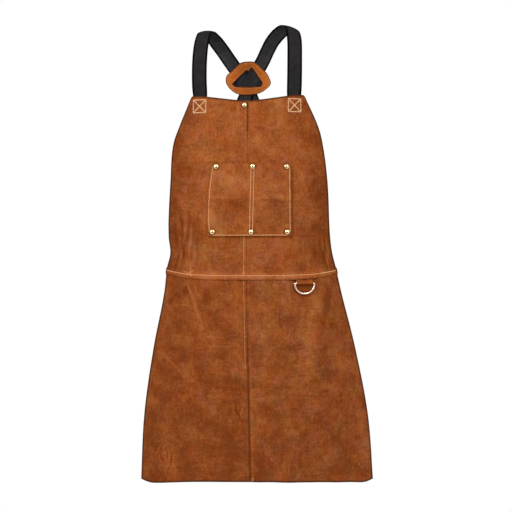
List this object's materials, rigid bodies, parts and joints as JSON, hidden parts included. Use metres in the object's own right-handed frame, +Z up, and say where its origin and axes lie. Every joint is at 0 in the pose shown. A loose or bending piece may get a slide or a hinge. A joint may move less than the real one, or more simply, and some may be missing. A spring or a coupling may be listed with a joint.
{
  "type": "leather bib apron",
  "caption": "Long suede work apron in its worn form: two-piece bib and skirt, riveted chest pocket, webbing straps crossing in a leather back patch, and a tool ring at the waist.",
  "frame": {"origin": "midway between the two straps, at the level where they lie on the wearer's shoulders", "axes": "+Z up, the apron's front looks along -Y, +X to the right of a viewer in front of it"},
  "size_m": [0.6245, 0.3036, 1.2463],
  "materials": {
    "suede": "napped split cowhide, rust brown, matt and mottled",
    "patch_leather": "smoother tan leather, slight sheen",
    "webbing": "woven black webbing with tight selvedges",
    "rivet_brass": "polished pale brass caps",
    "ring_nickel": "polished nickel wire"
  },
  "bodies": {
    "apron": {"bib_left": "suede", "bib_right": "suede", "skirt_left": "suede", "skirt_right": "suede", "bib_pocket": "suede", "ring_tab": "suede", "cross_patch_inner": "patch_leather", "cross_patch_outer": "patch_leather", "strap_left": "webbing", "strap_right": "webbing", "bib_rivet": "rivet_brass", "pocket_rivet_top_left": "rivet_brass", "pocket_rivet_top_middle": "rivet_brass", "pocket_rivet_top_right": "rivet_brass", "pocket_rivet_bottom_left": "rivet_brass", "pocket_rivet_bottom_middle": "rivet_brass", "pocket_rivet_bottom_right": "rivet_brass"},
    "ring": {"d_ring": "ring_nickel"}
  },
  "joints": [
    {"name": "ring_swing", "type": "hinge", "parent": "apron", "child": "ring", "pos_m": [0.15349, -0.12113, -0.70438], "axis": [-0.9381, -0.3463, 0], "range_deg": [0, 150]}
  ]
}
